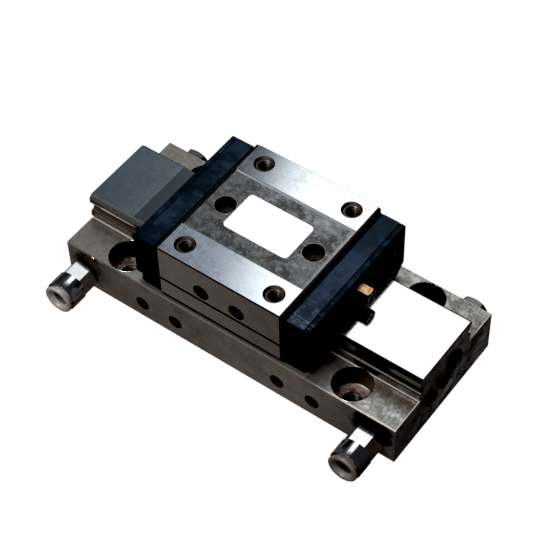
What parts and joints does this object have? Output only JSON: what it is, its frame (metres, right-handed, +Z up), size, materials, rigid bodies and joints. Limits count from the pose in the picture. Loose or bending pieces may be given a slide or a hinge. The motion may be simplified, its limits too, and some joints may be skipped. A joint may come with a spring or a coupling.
{
  "type": "pneumatic slide table",
  "caption": "Compact air driven slide table: a ball guided table with end caps on a one piece rail and cylinder base, with two tube fittings.",
  "frame": {"origin": "centre of the base's mounting face, at its underside", "axes": "+X along the table's travel, +Z up from the mounting face to the table, -Y towards the face with the two tube fittings"},
  "size_m": [0.1, 0.0586, 0.0313],
  "materials": {
    "base_steel": "ground steel, satin, warm grey with worn bright edges",
    "table_steel": "ground steel, bright top strips and a dull milled middle strip",
    "nickel": "nickel plated, polished",
    "bush_plastic": "grey moulded plastic",
    "cap_plastic": "black moulded plastic with a bluish sheen",
    "seal_rubber": "black rubber, dull",
    "plate_black": "thin black plate",
    "screw_black": "black oxide steel",
    "brass": "turned brass",
    "plug_aluminium": "turned aluminium",
    "yoke_steel": "machined steel",
    "wear_plastic": "brown bearing plastic",
    "ball_steel": "polished steel",
    "label_film": "plain white film, bare"
  },
  "bodies": {
    "base": {"rail_body": "base_steel", "end_plug_left": "plug_aluminium", "end_plug_right": "plug_aluminium", "plug_ring_left": "seal_rubber", "plug_ring_right": "seal_rubber", "circlip_left": "screw_black", "circlip_right": "screw_black", "bumper_left": "seal_rubber", "bumper_right": "seal_rubber", "fitting_left": "nickel", "fitting_right": "nickel", "fitting_gasket_left": "seal_rubber", "fitting_gasket_right": "seal_rubber", "claw_ring_left": "nickel", "claw_ring_right": "nickel", "tube_seal_left": "seal_rubber", "tube_seal_right": "seal_rubber", "port_plug_left": "nickel", "port_plug_right": "nickel", "plug_gasket_left": "seal_rubber", "plug_gasket_right": "seal_rubber"},
    "table": {"drive_yoke": "yoke_steel", "yoke_screws": "screw_black", "table_block": "table_steel", "spacer_plate_left": "plate_black", "spacer_plate_right": "plate_black", "end_cap_left": "cap_plastic", "end_cap_right": "cap_plastic", "end_seal_left": "seal_rubber", "end_seal_right": "seal_rubber", "cap_screws": "screw_black", "grease_nipple": "brass", "balls_front": "ball_steel", "balls_back": "ball_steel", "label": "label_film"},
    "piston": {"piston": "plug_aluminium", "piston_seal_left": "seal_rubber", "piston_seal_right": "seal_rubber", "wear_ring_left": "wear_plastic", "wear_ring_right": "wear_plastic"},
    "bush_left": {"release_bush_left": "bush_plastic"},
    "bush_right": {"release_bush_right": "bush_plastic"}
  },
  "joints": [
    {"name": "table_slide", "type": "slide", "parent": "base", "child": "table", "axis": [1, 0, 0], "range_m": [-0.0086, 0.0114]},
    {"name": "piston_slide", "type": "slide", "parent": "base", "child": "piston", "axis": [1, 0, 0], "range_m": [-0.0086, 0.0114]},
    {"name": "bush_left_press", "type": "slide", "parent": "base", "child": "bush_left", "axis": [0, 1, 0], "range_m": [0, 0.0008], "stiffness_N_per_m": 400},
    {"name": "bush_right_press", "type": "slide", "parent": "base", "child": "bush_right", "axis": [0, 1, 0], "range_m": [0, 0.0008], "stiffness_N_per_m": 400}
  ],
  "couplings": [
    {"joint": "piston_slide", "follows": "table_slide", "ratio": 1}
  ]
}
